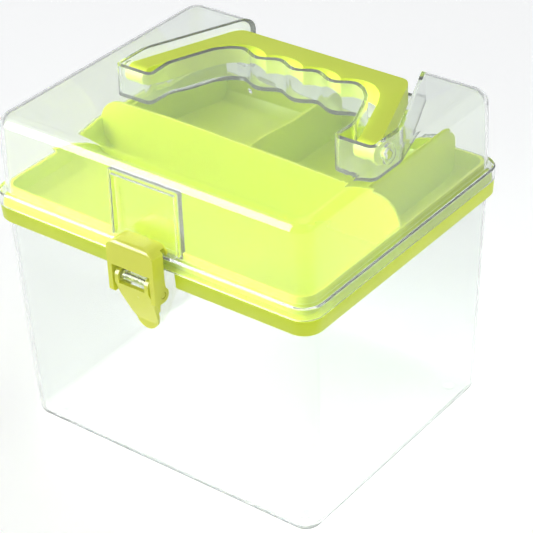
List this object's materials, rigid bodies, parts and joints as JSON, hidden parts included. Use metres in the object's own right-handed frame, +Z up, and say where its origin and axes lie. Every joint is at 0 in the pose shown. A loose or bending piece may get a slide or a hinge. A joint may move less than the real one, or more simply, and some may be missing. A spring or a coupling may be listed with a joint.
{
  "type": "art supply box",
  "caption": "Clear lidded box with a green lift-out tray, a fold-down carrying handle let into the lid and an over-centre front latch.",
  "frame": {"origin": "middle of the underside, on the plane of the feet", "axes": "+Z up, -Y towards the latch (the front), +X to the right of somebody who faces the latch"},
  "size_m": [0.22, 0.203, 0.2],
  "materials": {
    "clear_case": "clear, glossy, slightly cloudy polypropylene",
    "clear_lid": "clear, glossy polypropylene with frosted pockets",
    "tray_green": "satin, slightly translucent yellow-green",
    "handle_green": "satin leaf green",
    "latch_green": "satin yellow-green"
  },
  "bodies": {
    "case": {"case_box": "clear_case"},
    "tray": {"tray": "tray_green"},
    "lid": {"lid": "clear_lid"},
    "handle": {"handle": "handle_green"},
    "latch_lever": {"latch_lever": "latch_green"},
    "latch_hook": {"latch_hook": "latch_green"}
  },
  "joints": [
    {"name": "tray_lift", "type": "slide", "parent": "case", "child": "tray", "axis": [0, 0, 1], "range_m": [0, 0.12]},
    {"name": "lid_hinge", "type": "hinge", "parent": "tray", "child": "lid", "pos_m": [0, 0.0969, 0.136], "axis": [-1, 0, 0], "range_deg": [0, 105]},
    {"name": "handle_pivot", "type": "hinge", "parent": "lid", "child": "handle", "pos_m": [0, 0.007, 0.19075], "axis": [1, 0, 0], "range_deg": [0, 90]},
    {"name": "latch_lever_pivot", "type": "hinge", "parent": "case", "child": "latch_lever", "pos_m": [0, -0.0973, 0.137], "axis": [-1, 0, 0], "range_deg": [0, 90]},
    {"name": "latch_hook_pivot", "type": "hinge", "parent": "latch_lever", "child": "latch_hook", "pos_m": [0, -0.0943, 0.1305], "axis": [1, 0, 0], "range_deg": [0, 148.5]}
  ],
  "couplings": [
    {"joint": "latch_hook_pivot", "follows": "latch_lever_pivot", "ratio": 1.65}
  ]
}
